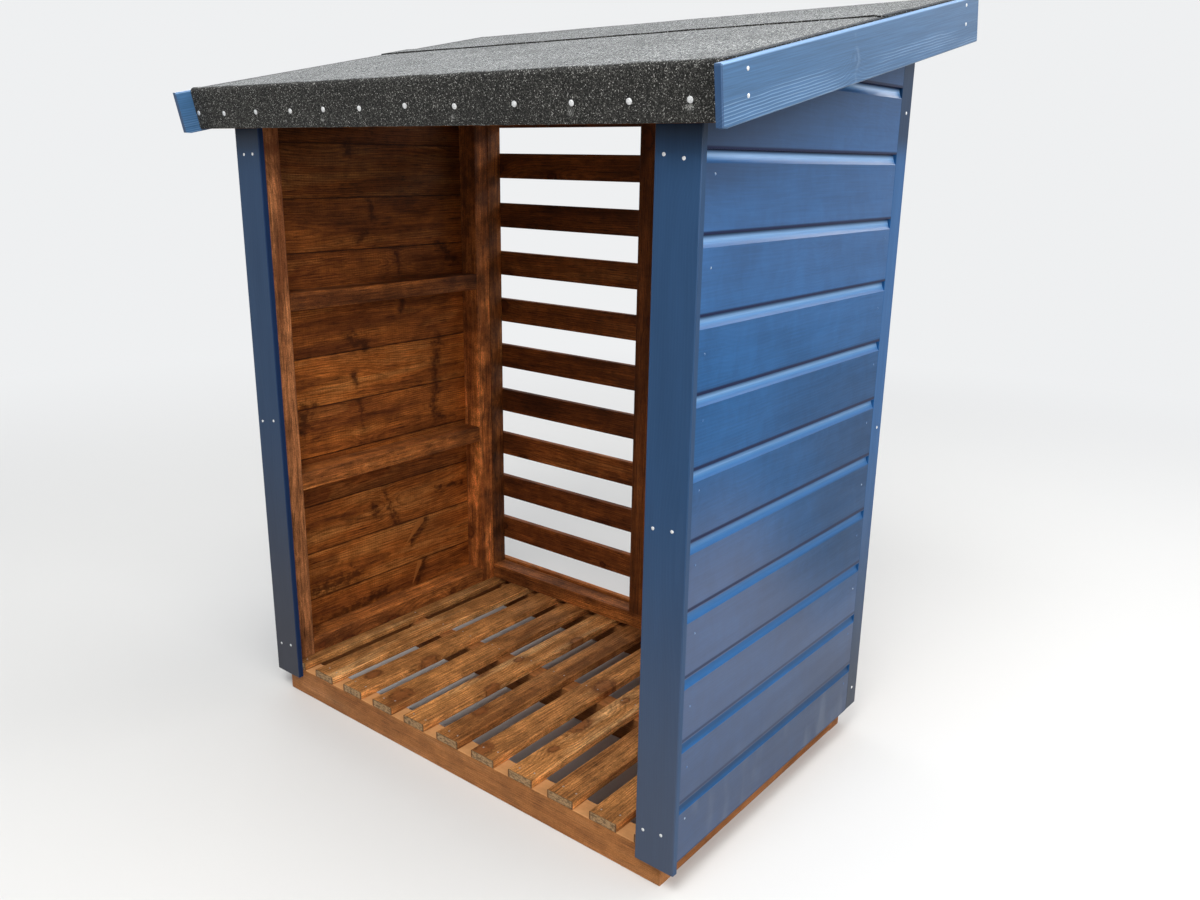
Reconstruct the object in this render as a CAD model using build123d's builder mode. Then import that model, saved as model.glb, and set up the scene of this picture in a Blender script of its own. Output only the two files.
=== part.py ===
from build123d import *
from math import asin, cos, radians, sin
import os

# Open-fronted log store: bearers, slatted floor, two shiplap-clad side panels, a slatted back
# panel and a felted roof that falls to the front. Millimetres, +X right, +Y back, +Z up.
# The origin is at ground level, in the middle of the overall width and depth.

# Framing timber
frame_w = 52.0        # across the side panels
stud_d = 44.0         # stud, front to back
rail_h = 37.0         # horizontal rails
arris = 1.5           # eased edges of planed timber

# Side panels
wall_x = 545.0        # outer face of the cladding
clad_t = 12.0         # cladding thickness
panel_len = 620.0     # side panel, front to back
clad_x = wall_x - clad_t
inner_x = clad_x - frame_w

# Shiplap
cover = 112.0         # visible height of one course
course_1 = 171.8      # lower edge of the second board
board_foot = 64.3     # lower edge of the first board
courses = 12
tongue_t = 5.5        # thin upper lip
tongue_h = 8.0
rebate_h = 9.0        # recess behind the lower edge
rebate_t = 6.0
scoop_h = 18.0        # hollow below the lip
scoop_r = (scoop_h ** 2 + (clad_t - tongue_t) ** 2) / (2 * (clad_t - tongue_t))

# Base and floor
bearer_h = 60.0
bearer_d = 42.0
bearer_x = 512.0      # half length of the front and back bearers
slat_t = 17.0
slat_w = 60.0
slat_pitch = 97.4
slat_n = 11
floor_z = bearer_h + slat_t

# Trims
trim_w = 78.0
trim_t = 11.0
trim_foot = 43.0

# Back panel
back_slat_h = 58.0
back_slat_t = 15.0
back_pitch = 117.1
back_slat_foot = 62.5
back_slat_n = 12

# Roof, set out from the front fold of the felt
slope = 11.95
fold_z = 1283.0
front_overhang = 51.7
roof_len = 822.0      # fold to the rear end, along the slope
felt_t = 2.0
deck_t = 11.0
fold_r = 8.0          # bends of the felt over the front and rear edges
fold_lift = 1.5       # felt standing up off the deck at the front fold
fascia_h = 75.0
fascia_t = 18.0
barge_h = 76.5
barge_t = 11.0
barge_x = 605.0       # inner face of the bargeboards
barge_nose = 31.7     # how far they stand out in front of the fascia
barge_tail = 4.6      # how far they stand out behind
barge_cut = {"left": (0.0, 0.0), "right": (8.0, 2.8)}   # front end cut back, top and foot
barge_drop = 2.0      # top edge below the felt
lap_at = 485.0        # lower edge of the upper felt sheet
lap_len = 75.0

rise = sin(radians(slope))
run = cos(radians(slope))
reach_front = barge_drop * rise - barge_nose * run
reach_rear = (roof_len + barge_tail) * run + (barge_drop + barge_h) * rise
fold_y = -(reach_front + reach_rear) / 2
face_y = fold_y + front_overhang          # front face of the corner trims
frame_y = face_y + trim_t                 # front of the side panels
back_y = frame_y + panel_len              # front of the back panel
rear_y = back_y + stud_d                  # rear of the back panel

# Roof plane: local x across, local y up the slope, local z square to the felt
roof = Plane(origin=(0, fold_y, fold_z), x_dir=(1, 0, 0), z_dir=(0, -rise, run))
soffit = roof.offset(-felt_t - deck_t)
roof_side = Plane(origin=(0, fold_y, fold_z), x_dir=(0, run, rise), z_dir=(1, 0, 0))

os.makedirs("parts", exist_ok=True)


def soffit_z(y):
    """Height of the underside of the roof deck at a given depth."""
    along = (y - fold_y - (felt_t + deck_t) * rise) / run
    return fold_z + along * rise - (felt_t + deck_t) * run


def block(x0, x1, y0, y1, z0, z1):
    """Squared timber between the given limits, added to the open part."""
    middle = ((x0 + x1) / 2, (y0 + y1) / 2, (z0 + z1) / 2)
    with Locations(middle):
        Box(abs(x1 - x0), abs(y1 - y0), abs(z1 - z0))


def save(builder, label):
    """Name the finished piece and write it out."""
    builder.part.label = label
    export_step(builder.part, f"parts/{label}.step")


# Base: front and back bearers, one across the middle and one under each side
with BuildPart() as front_bearer:
    block(-bearer_x, bearer_x, frame_y, frame_y + bearer_d, 0, bearer_h)
    fillet(front_bearer.edges().filter_by(Axis.X), 2.0)
save(front_bearer, "front_bearer")

with BuildPart() as back_bearer:
    block(-bearer_x, bearer_x, rear_y - bearer_d, rear_y, 0, bearer_h)
    fillet(back_bearer.edges().filter_by(Axis.X), 2.0)
save(back_bearer, "back_bearer")

with BuildPart() as middle_bearer:
    mid_y = (frame_y + rear_y) / 2
    reach = bearer_x - bearer_d
    block(-reach, reach, mid_y - bearer_d / 2, mid_y + bearer_d / 2, 0, bearer_h)
    fillet(middle_bearer.edges().filter_by(Axis.X), 2.0)
save(middle_bearer, "middle_bearer")

for side, name in ((-1, "left"), (1, "right")):
    with BuildPart() as side_bearer:
        block(side * (bearer_x - bearer_d), side * bearer_x, frame_y + bearer_d,
              rear_y - bearer_d, 0, bearer_h)
        fillet(side_bearer.edges().filter_by(Axis.Y), 2.0)
    save(side_bearer, f"{name}_side_bearer")

# Floor: slats laid front to back on the bearers, edges rounded
with BuildPart() as floor_slats:
    with BuildSketch(Plane.XZ.offset(-frame_y)):
        with Locations((0, bearer_h + slat_t / 2)):
            with GridLocations(slat_pitch, 1, slat_n, 1):
                RectangleRounded(slat_w, slat_t, 2.0)
    extrude(amount=frame_y - rear_y)
save(floor_slats, "floor_slats")


def shiplap_boards(side):
    """One side of boards: rebated foot, flat face, scooped shoulder and thin upper lip."""
    def at(depth, z):
        return (side * (clad_x + depth), z)

    bend = asin(scoop_h / scoop_r) / 2
    with BuildPart() as boards:
        with BuildSketch(Plane.XZ.offset(-frame_y)):
            for course in range(courses):
                z_high = course_1 + course * cover
                z_low = z_high - cover if course else board_foot
                z_lip = z_high + tongue_h
                hollow = at(tongue_t + scoop_r * (1 - cos(bend)), z_high - scoop_r * sin(bend))
                with BuildLine():
                    ThreePointArc(at(clad_t, z_high - scoop_h), hollow, at(tongue_t, z_high))
                    Polyline(at(tongue_t, z_high), at(tongue_t, z_lip), at(0, z_lip),
                             at(0, z_low + rebate_h), at(rebate_t, z_low + rebate_h),
                             at(rebate_t, z_low), at(clad_t, z_low),
                             at(clad_t, z_high - scoop_h))
                make_face()
        extrude(amount=-panel_len)
        split(bisect_by=soffit, keep=Keep.BOTTOM)
    return boards


# Side panels: studs, rails, boards cut to the slope, front trim and rear corner strip
for side, name in ((-1, "left"), (1, "right")):
    inner = side * inner_x
    outer = side * clad_x
    top = soffit_z(back_y) + 20

    with BuildPart() as front_stud:
        block(inner, outer, frame_y, frame_y + stud_d, floor_z, top)
        chamfer(front_stud.edges().filter_by(Axis.Z), arris)
        split(bisect_by=soffit, keep=Keep.BOTTOM)
    save(front_stud, f"{name}_front_stud")

    with BuildPart() as rear_stud:
        block(inner, outer, back_y - stud_d, back_y, floor_z, top)
        chamfer(rear_stud.edges().filter_by(Axis.Z), arris)
        split(bisect_by=soffit, keep=Keep.BOTTOM)
    save(rear_stud, f"{name}_rear_stud")

    for rail, rail_z in (("bottom", floor_z), ("lower", 466.0), ("upper", 853.0)):
        with BuildPart() as side_rail:
            block(inner, outer, frame_y + stud_d, back_y - stud_d, rail_z, rail_z + rail_h)
            chamfer(side_rail.edges().filter_by(Axis.Y), arris)
        save(side_rail, f"{name}_{rail}_rail")

    with BuildPart() as top_rail:
        block(inner, outer, frame_y + stud_d, back_y - stud_d, 1100, top)
        split(bisect_by=soffit, keep=Keep.BOTTOM)
        split(bisect_by=soffit.offset(-rail_h), keep=Keep.TOP)
    save(top_rail, f"{name}_top_rail")

    save(shiplap_boards(side), f"{name}_shiplap_boards")

    with BuildPart() as front_trim:
        block(side * (wall_x - trim_w), side * wall_x, face_y, frame_y, trim_foot, top)
        chamfer(front_trim.edges().filter_by(Axis.Z).group_by(Axis.Y)[0], arris)
        split(bisect_by=soffit, keep=Keep.BOTTOM)
    save(front_trim, f"{name}_front_trim")

    with BuildPart() as corner_strip:
        block(outer, side * wall_x, back_y, rear_y, board_foot, top + 20)
        split(bisect_by=soffit, keep=Keep.BOTTOM)
    save(corner_strip, f"{name}_corner_strip")

    with BuildPart() as back_stud:
        block(inner, outer, back_y, rear_y, floor_z, top + 20)
        chamfer(back_stud.edges().filter_by(Axis.Z), arris)
        split(bisect_by=soffit, keep=Keep.BOTTOM)
    save(back_stud, f"{name}_back_stud")

# Back panel: rails between the outer studs, centre stud between the rails, horizontal slats
back_rail_z = soffit_z(back_y) - rail_h - 4
with BuildPart() as back_bottom_rail:
    block(-inner_x, inner_x, back_y, rear_y, floor_z, floor_z + rail_h)
    chamfer(back_bottom_rail.edges().filter_by(Axis.X), arris)
save(back_bottom_rail, "back_bottom_rail")

with BuildPart() as back_top_rail:
    block(-inner_x, inner_x, back_y, rear_y, back_rail_z, soffit_z(rear_y) + 20)
    split(bisect_by=soffit, keep=Keep.BOTTOM)
save(back_top_rail, "back_top_rail")

with BuildPart() as back_centre_stud:
    block(-frame_w / 2, frame_w / 2, back_y, rear_y, floor_z + rail_h, back_rail_z)
    chamfer(back_centre_stud.edges().filter_by(Axis.Z), arris)
save(back_centre_stud, "back_centre_stud")

with BuildPart() as back_slats:
    with BuildSketch(Plane.YZ.offset(-clad_x)):
        for row in range(back_slat_n):
            row_z = back_slat_foot + back_slat_h / 2 + row * back_pitch
            with Locations((rear_y + back_slat_t / 2, row_z)):
                RectangleRounded(back_slat_t, back_slat_h, 2.0)
    extrude(amount=2 * clad_x)
save(back_slats, "back_slats")

# Front header and middle rafter under the deck
header_z = soffit_z(frame_y) - frame_w
with BuildPart() as front_header:
    block(-inner_x, inner_x, frame_y, frame_y + stud_d, header_z, header_z + 2 * frame_w)
    split(bisect_by=soffit, keep=Keep.BOTTOM)
save(front_header, "front_header")

with BuildPart() as middle_rafter:
    block(-frame_w / 2, frame_w / 2, frame_y + stud_d, back_y, 1100, 1500)
    split(bisect_by=soffit, keep=Keep.BOTTOM)
    split(bisect_by=soffit.offset(-rail_h), keep=Keep.TOP)
save(middle_rafter, "middle_rafter")

# Roof panel: deck sheet with a frame hung under its edges
with BuildPart() as roof_deck:
    with BuildSketch(roof.offset(-felt_t)):
        with Locations((0, roof_len / 2)):
            Rectangle(2 * barge_x, roof_len - 2 * felt_t)
    extrude(amount=-deck_t)
    deck_ends = roof_deck.faces().sort_by(Axis(roof.origin, roof.z_dir))[-1].edges()
    deck_ends = deck_ends.filter_by(Axis.X)
    fillet(deck_ends, fold_r - felt_t / 2)
save(roof_deck, "roof_deck")

fascia_board_h = fascia_h - felt_t - deck_t
with BuildPart() as front_fascia:
    with BuildSketch(soffit):
        with Locations((0, felt_t + fascia_t / 2)):
            Rectangle(2 * barge_x, fascia_t)
    extrude(amount=-fascia_board_h)
save(front_fascia, "front_fascia_board")

with BuildPart() as rear_fascia:
    with BuildSketch(soffit):
        with Locations((0, roof_len - felt_t - fascia_t / 2)):
            Rectangle(2 * barge_x, fascia_t)
    extrude(amount=-fascia_board_h)
save(rear_fascia, "rear_fascia_board")

for side, name in ((-1, "left"), (1, "right")):
    with BuildPart() as eaves_batten:
        with BuildSketch(soffit):
            with Locations((side * (barge_x - fascia_t / 2), roof_len / 2)):
                Rectangle(fascia_t, roof_len - 2 * felt_t - 2 * fascia_t)
        extrude(amount=-44)
    save(eaves_batten, f"{name}_roof_batten")

    top_end, foot_end = (cut - barge_nose for cut in barge_cut[name])
    with BuildPart() as bargeboard:
        with BuildSketch(roof_side.offset(side * barge_x)):
            with BuildLine():
                Polyline((top_end, -barge_drop),
                         (roof_len + barge_tail, -barge_drop),
                         (roof_len + barge_tail, -barge_drop - barge_h),
                         (foot_end + 10, -barge_drop - barge_h),
                         (foot_end, 2.5 - barge_drop - barge_h), close=True)
            make_face()
        extrude(amount=side * barge_t)
        outermost = -1 if side > 0 else 0
        chamfer(bargeboard.faces().sort_by(Axis.X)[outermost].edges(), 1.8)
    save(bargeboard, f"{name}_bargeboard")


def felt_sheet(points, bends):
    """Sheet of felt bent along the given side-view line, laid across the whole roof."""
    with BuildPart() as sheet:
        with BuildSketch(roof_side.offset(-barge_x)):
            with BuildLine():
                path = FilletPolyline(*points, radius=bends)
            trace(path, line_width=felt_t)
        extrude(amount=2 * barge_x)
    return sheet


# Felt: the lower sheet folds down over the front fascia, the upper one laps onto it and
# folds down over the rear fascia
half = felt_t / 2
lower_felt = felt_sheet([(half, -fascia_h), (half, fold_lift), (30, -half),
                         (lap_at + lap_len, -half)], fold_r)
save(lower_felt, "lower_felt_sheet")

upper_felt = felt_sheet([(lap_at, half), (lap_at + lap_len + 4, half),
                         (lap_at + lap_len + 18, -half), (roof_len - half, -half),
                         (roof_len - half, -fascia_h)], fold_r)
save(upper_felt, "upper_felt_sheet")

# Nail heads: clouts along the front of the felt, pairs on the trims and bargeboards
clouts = ((-596, -45), (-509, -47), (-404, -46), (-298, -46), (-203, -45), (-106, -45),
          (8, -43), (121, -46), (246, -45), (354, -46), (454, -46), (551, -46))
with BuildPart() as clout_nails:
    with BuildSketch(Plane(roof.origin, x_dir=(1, 0, 0), z_dir=(0, -run, -rise))):
        with Locations(*clouts):
            Circle(5.0)
    extrude(amount=1.2)
save(clout_nails, "felt_clout_nails")

trim_nails = ((-525, 110), (-490, 116), (-529, 624), (-489, 631), (-519, 1163), (-490, 1164),
              (483, 104), (519, 110), (484, 633), (519, 636), (483, 1172), (516, 1167))
strip_nails = ((22, 108), (25, 671), (25, 1251))
with BuildPart() as corner_nails:
    with BuildSketch(Plane.XZ.offset(-face_y)):
        with Locations(*trim_nails):
            Circle(3.2)
    extrude(amount=1.0)
    for side in (-1, 1):
        with BuildSketch(Plane.YZ.offset(side * wall_x)):
            for back, z in strip_nails:
                with Locations((back_y + back, z)):
                    Circle(3.2)
        extrude(amount=side * 1.0)
save(corner_nails, "corner_nails")

with BuildPart() as bargeboard_nails:
    for side in (-1, 1):
        with BuildSketch(roof_side.offset(side * (barge_x + barge_t))):
            with Locations((35, -16), (33, -48), (767, -13), (767, -43.5)):
                Circle(3.2)
        extrude(amount=side * 1.0)
save(bargeboard_nails, "bargeboard_nails")
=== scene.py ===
import math
import random

import bmesh
import bpy
from mathutils import Matrix, Vector, noise


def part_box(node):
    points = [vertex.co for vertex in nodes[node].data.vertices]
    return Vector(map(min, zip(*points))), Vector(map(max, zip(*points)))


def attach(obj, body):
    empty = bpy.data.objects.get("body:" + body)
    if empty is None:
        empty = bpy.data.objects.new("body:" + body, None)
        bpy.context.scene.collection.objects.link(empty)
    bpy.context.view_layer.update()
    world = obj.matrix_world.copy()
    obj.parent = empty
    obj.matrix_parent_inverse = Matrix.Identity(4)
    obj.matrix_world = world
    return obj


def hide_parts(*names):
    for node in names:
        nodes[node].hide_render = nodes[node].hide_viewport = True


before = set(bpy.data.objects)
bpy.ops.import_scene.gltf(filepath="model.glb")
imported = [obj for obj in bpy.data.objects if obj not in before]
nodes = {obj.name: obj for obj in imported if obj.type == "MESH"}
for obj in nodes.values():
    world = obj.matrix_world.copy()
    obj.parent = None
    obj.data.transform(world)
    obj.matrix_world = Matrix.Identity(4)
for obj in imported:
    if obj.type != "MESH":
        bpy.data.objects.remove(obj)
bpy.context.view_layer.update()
scene = bpy.context.scene
rng = random.Random(23)

# Measures of the store, in metres
CLAD_X = 0.533            # inner face of the shiplap
WALL_X = 0.545            # outer face of the shiplap
COVER = 0.112             # visible height of one board
COURSE_1 = 0.1718         # lower edge of the second board
REBATE = 0.0085           # how much higher a joint shows inside than the lip outside
STUD_W, STUD_D = 0.052, 0.044
TRIM_X = 0.506            # middle of the front trims
SLAT_PITCH = 0.0974
SLAT_HALF = (0.03, 0.0085)   # half the width and half the thickness of a floor slat
SLAT_Z = 0.0685           # middle of the floor slats
BACK_PITCH = 0.1171
BACK_HALF = (0.029, 0.0075)
BACK_FOOT = 0.0625        # lower edge of the first back slat
FACE_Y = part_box("left_front_trim")[0].y
FRAME_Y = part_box("left_shiplap_boards")[0].y
BACK_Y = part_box("left_shiplap_boards")[1].y
REAR_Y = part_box("back_bottom_rail")[1].y
SLOPE = math.radians(11.95)
FOLD = Vector((0.0, FACE_Y - 0.0517, 1.283))
UP_SLOPE = Vector((0.0, math.cos(SLOPE), math.sin(SLOPE)))
ROOF_UP = Vector((0.0, -math.sin(SLOPE), math.cos(SLOPE)))
ROOF_LEN = 0.822
FASCIA_H = 0.075
BARGE_X = 0.605
BARGE_T = 0.011
ROOF_MID = -0.03          # middle of the timber under the felt, square to the slope
BATTEN_X = 0.57
BEARER_Z = 0.03
FELT_T = 0.002
LAP_AT = 0.485
LAP_LEN = 0.075
FOLD_R = 0.008            # bend of the felt over the roof's ends
FOLD_LIFT = 0.0015        # felt standing up off the deck at the front fold

# Nails: x and height on the trims, depth and height on the strips, and along and up the roof
TRIM_NAILS = ((-0.525, 0.110), (-0.490, 0.116), (-0.529, 0.624), (-0.489, 0.631),
              (-0.519, 1.163), (-0.490, 1.164), (0.483, 0.104), (0.519, 0.110),
              (0.484, 0.633), (0.519, 0.636), (0.483, 1.172), (0.516, 1.167))
STRIP_NAILS = ((0.022, 0.108), (0.025, 0.671), (0.025, 1.251))
BARGE_NAILS = ((0.035, -0.016), (0.033, -0.048), (0.767, -0.013), (0.767, -0.0435))
CLOUTS = ((-0.596, -0.045), (-0.509, -0.047), (-0.404, -0.046), (-0.298, -0.046),
          (-0.203, -0.045), (-0.106, -0.045), (0.008, -0.043), (0.121, -0.046),
          (0.246, -0.045), (0.354, -0.046), (0.454, -0.046), (0.551, -0.046))
CLOUT_HEAD = (0.0045, 0.0012, 0.0009)          # radius, crown and how far it is sunk
NAIL_HEAD = (0.0029, 0.0010)
PIN_HEAD = (0.0019, 0.0005, 0.0003, 2.0)
LOST_HEAD = (0.0019, 0.0004, 0.0003, 3.0)

# Scuffs of the hammer on the felt: x, height, radius
FELT_SCUFFS = ((-0.317, -0.063, 0.0040), (-0.210, -0.062, 0.0055), (0.114, -0.0615, 0.0070),
               (0.350, -0.0580, 0.0080), (0.549, -0.0550, 0.0085))
# Knots and torn grain on the inside of the wall: along, height, along, height, half width
KNOT_MARKS = ((-0.086, 1.184, -0.084, 1.172, 0.014), (-0.031, 1.060, -0.029, 1.038, 0.011),
              (-0.047, 1.002, -0.064, 0.987, 0.013), (0.168, 0.964, 0.218, 0.924, 0.013),
              (-0.105, 0.772, -0.070, 0.750, 0.018), (0.158, 0.735, 0.142, 0.677, 0.016),
              (0.142, 0.660, 0.150, 0.621, 0.012), (0.148, 0.615, 0.132, 0.573, 0.014),
              (0.136, 0.556, 0.162, 0.535, 0.015), (-0.103, 0.684, -0.095, 0.664, 0.010),
              (-0.230, 0.622, -0.246, 0.590, 0.026), (0.050, 0.836, 0.044, 0.816, 0.012),
              (-0.060, 0.358, -0.060, 0.342, 0.012), (0.133, 0.357, 0.222, 0.349, 0.008),
              (-0.244, 0.197, -0.125, 0.201, 0.022), (-0.250, 0.104, -0.040, 0.130, 0.016),
              (0.098, 0.283, 0.050, 0.236, 0.011), (0.087, 0.172, 0.064, 0.124, 0.011))
SPIKE_MARKS = ((0.080, 0.283, 0.033, 0.237, 0.009), (0.071, 0.172, 0.047, 0.123, 0.007))
STUD_KNOT = (1.005, 0.004, 0.008)              # along, across, radius
BARGE_KNOT = (0.330, -0.044, 0.011)
KNOT_GRID = (0.185, 0.125)                     # a cell with one knot, along and across
SPIKE_STEP = 0.24                              # spacing of torn grain along a board
SAW_STEP = 0.0068                              # spacing of the saw's marks
END_RING = 0.0034                              # growth rings on the end of a slat


def on_roof(x, along, up):
    """Point on the roof: x across, along the slope from the front fold, up square to the felt."""
    return FOLD + Vector((x, 0, 0)) + UP_SLOPE * along + ROOF_UP * up


def rgb(red, green, blue):
    """sRGB numbers from 0 to 255 as a linear colour."""
    def linear(value):
        value /= 255
        return value / 12.92 if value <= 0.04045 else ((value + 0.055) / 1.055) ** 2.4
    return (linear(red), linear(green), linear(blue))


def scaled(colour, share):
    return tuple(share * c for c in colour)


# Stains on the timber: dark, middle, light and warm
BROWN = (rgb(76, 38, 14), rgb(116, 64, 28), rgb(168, 108, 58), rgb(142, 80, 36))
WALL = (rgb(84, 40, 14), rgb(130, 71, 30), rgb(176, 112, 56), rgb(156, 88, 36))
DEEP = (rgb(66, 32, 12), rgb(102, 54, 22), rgb(150, 94, 48), rgb(126, 70, 30))
SLAT = (rgb(124, 76, 38), rgb(170, 114, 64), rgb(214, 164, 108), rgb(194, 132, 74))
RAIL = (rgb(88, 46, 18), rgb(138, 80, 38), rgb(194, 132, 76), rgb(166, 98, 46))
STUD = (rgb(108, 62, 34), rgb(162, 104, 64), rgb(218, 166, 118), rgb(190, 124, 78))
TAN = (rgb(142, 88, 48), rgb(164, 106, 60), rgb(184, 126, 78), rgb(174, 114, 64))
PALE_TAN = rgb(206, 152, 100)
SLAT_END = rgb(176, 142, 104)
BACK_END = rgb(120, 92, 62)
KNOT_TINT = (0.56, 0.42, 0.38)

# Blue paint, what the weather lays on it, and painted light and shade on it
BLUE = rgb(37, 90, 144)
# The trims' blue: the boards' paint, made darker as painted shade
SHADED_TRIM_BLUE = rgb(41, 71, 107)
# The bargeboards' blue, paler as a painted reflection of the sky
LIT_BARGE_BLUE = rgb(66, 105, 146)
# The bargeboards' front ends, darker as painted shade
SHADED_BARGE_END = rgb(46, 74, 112)
# Painted shade on the trims' inner edges
SHADED_EDGE_NAVY = rgb(22, 42, 78)
# Painted shade under the eaves
EAVES_SHADE_BLUE = rgb(14, 42, 70)
# Painted shadow line along each board's lip
LIP_SHADOW_BLUE = rgb(6, 20, 60)
# Painted highlight and shade in each board's hollow, for the upper, lower and lowest boards
HOLLOW_LIGHT_HIGH = ((0.05, rgb(14, 34, 60)), (0.18, rgb(70, 104, 144)), (0.32, rgb(122, 162, 208)),
               (0.45, rgb(134, 180, 228)), (0.62, rgb(92, 148, 206)), (0.8, rgb(52, 108, 168)),
               (1.0, rgb(34, 88, 146)))
HOLLOW_LIGHT_LOW = rgb(54, 103, 157)
HOLLOW_LIGHT_FOOT = rgb(50, 76, 110)
# Dust with a painted reflection of the ground
DUST_AND_REFLECTION = rgb(97, 95, 98)
WALL_DUST_AND_REFLECTION = rgb(100, 102, 118)
# Dust darkened as painted shade, for the left trim and the strips
SHADED_DUST = rgb(62, 59, 62)
SHADED_STRIP_DUST = rgb(40, 50, 68)
SPLASH = rgb(150, 156, 166)


# Node helpers
def operation(kind, swapped=False):
    """Arithmetic on a Value, done by a Math node of that kind."""
    def method(self, other=0.0):
        return self.shader.math(kind, *((other, self) if swapped else (self, other)))
    return method


class Value:
    """A socket that counts like a number: each operation on it adds a Math node."""

    def __init__(self, shader, socket):
        self.shader = shader
        self.socket = socket

    __add__, __radd__ = operation("ADD"), operation("ADD", True)
    __sub__, __rsub__ = operation("SUBTRACT"), operation("SUBTRACT", True)
    __mul__, __rmul__ = operation("MULTIPLY"), operation("MULTIPLY", True)
    __truediv__, __rtruediv__ = operation("DIVIDE"), operation("DIVIDE", True)
    __gt__ = operation("GREATER_THAN")
    __abs__ = operation("ABSOLUTE")
    sqrt, exp = operation("SQRT"), operation("EXPONENT")
    floor, fract = operation("FLOOR"), operation("FRACT")
    sine, sign = operation("SINE"), operation("SIGN")
    at_least, at_most = operation("MAXIMUM"), operation("MINIMUM")

    def clamped(self):
        self.socket.node.use_clamp = True
        return self


MIX_SOCKETS = {"FLOAT": (2, 3, 0), "VECTOR": (4, 5, 1), "RGBA": (6, 7, 2)}


class Shader:
    """A material's or world's node tree, with short calls for the nodes that they share.

    Numbers come out as Values, colours and vectors as plain sockets."""

    def __init__(self, name, world=None):
        self.material = world or bpy.data.materials.new(name)
        self.material.use_nodes = True
        self.tree = self.material.node_tree
        self.tree.nodes.clear()
        self.out = self.add("OutputWorld" if world else "OutputMaterial")
        if not world:
            self.bsdf = self.add("BsdfPrincipled")
            self.link(self.bsdf.outputs[0], self.out.inputs["Surface"])

    def add(self, kind, **settings):
        node = self.tree.nodes.new("ShaderNode" + kind)
        for key, value in settings.items():
            setattr(node, key, value)
        return node

    def link(self, source, target):
        """Joins a value to a socket, or sets the socket to a plain number or colour."""
        if isinstance(source, Value):
            source = source.socket
        if isinstance(source, bpy.types.NodeSocket):
            self.tree.links.new(source, target)
        elif target.type == "RGBA" and len(source) == 3:
            target.default_value = (*source, 1.0)
        else:
            target.default_value = source

    def fill(self, node, *sources):
        """Links the sources to the node's first sockets, in their order."""
        for source, socket in zip(sources, node.inputs):
            self.link(source, socket)
        return node

    def math(self, kind, a, b):
        node = self.fill(self.add("Math", operation=kind), a, b)
        return Value(self, node.outputs[0])

    def split(self, vector):
        node = self.fill(self.add("SeparateXYZ"), vector)
        return [Value(self, out) for out in node.outputs]

    def join(self, x, y, z):
        return self.fill(self.add("CombineXYZ"), x, y, z).outputs[0]

    def noise(self, vector, scale=1.0, detail=3.0, rough=0.55, distortion=0.0):
        node = self.add("TexNoise")
        for key, value in (("Vector", vector), ("Scale", scale), ("Detail", detail),
                           ("Roughness", rough), ("Distortion", distortion)):
            self.link(value, node.inputs[key])
        return Value(self, node.outputs["Fac"])

    def cells(self, vector, scale=1.0, flat=False):
        """Distance from the nearest cell's middle, and three random numbers for the cell."""
        node = self.add("TexVoronoi", voronoi_dimensions="2D" if flat else "3D")
        self.link(vector, node.inputs["Vector"])
        self.link(scale, node.inputs["Scale"])
        return Value(self, node.outputs["Distance"]), self.split(node.outputs["Color"])

    def random(self, value):
        node = self.add("TexWhiteNoise", noise_dimensions="1D")
        self.link(value, node.inputs["W"])
        return self.split(node.outputs["Color"])

    def span(self, value, low, high, to_low=0.0, to_high=1.0, smooth=True):
        """Maps low to to_low and high to to_high, and stays there beyond them."""
        node = self.add("MapRange")
        node.interpolation_type = "SMOOTHSTEP" if smooth else "LINEAR"
        self.fill(node, value, low, high, to_low, to_high)
        return Value(self, node.outputs["Result"])

    def mix(self, share, a, b, blend="MIX", kind="RGBA"):
        """Mixes two colours, or two numbers (FLOAT) or directions (VECTOR)."""
        node = self.add("Mix", data_type=kind, blend_type=blend)
        first, second, result = MIX_SOCKETS[kind]
        for value, socket in ((share, 0), (a, first), (b, second)):
            self.link(value, node.inputs[socket])
        return node.outputs[result]

    def shade(self, colour, value):
        """The colour, made brighter or darker by a number."""
        return self.mix(1.0, colour, self.join(value, value, value), "MULTIPLY")

    def ramp(self, value, stops):
        node = self.add("ValToRGB")
        ramp = node.color_ramp
        while len(ramp.elements) < len(stops):
            ramp.elements.new(0.5)
        for element, (place, colour) in zip(ramp.elements, stops):
            element.position = place
            element.color = (*colour, 1.0)
        return self.fill(node, value).outputs[0]

    def bump(self, height, distance, strength):
        node = self.add("Bump")
        for key, value in (("Strength", strength), ("Distance", distance), ("Height", height)):
            self.link(value, node.inputs[key])
        return node.outputs[0]

    def spot(self):
        return self.add("TexCoord").outputs["Object"]

    def place(self):
        return self.split(self.spot())

    def place_by(self, axes):
        """Coordinates in the order that axes names; s and n run up the slope and square to it."""
        x, y, z = self.place()
        named = {"x": x, "y": y, "z": z}
        if "s" in axes:
            y, z = y - FOLD.y, z - FOLD.z
            named["s"] = y * UP_SLOPE.y + z * UP_SLOPE.z
            named["n"] = y * ROOF_UP.y + z * ROOF_UP.z
        return [named[a] for a in axes]

    def normal(self):
        return self.split(self.add("NewGeometry").outputs["Normal"])

    def seen(self):
        """1 for the rays that show the backdrop: camera, glossy and transmission rays."""
        paths = self.add("LightPath").outputs
        camera, glossy, through = [Value(self, paths[f"Is {kind} Ray"])
                                   for kind in ("Camera", "Glossy", "Transmission")]
        return camera.at_least(glossy).at_least(through)

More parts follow.
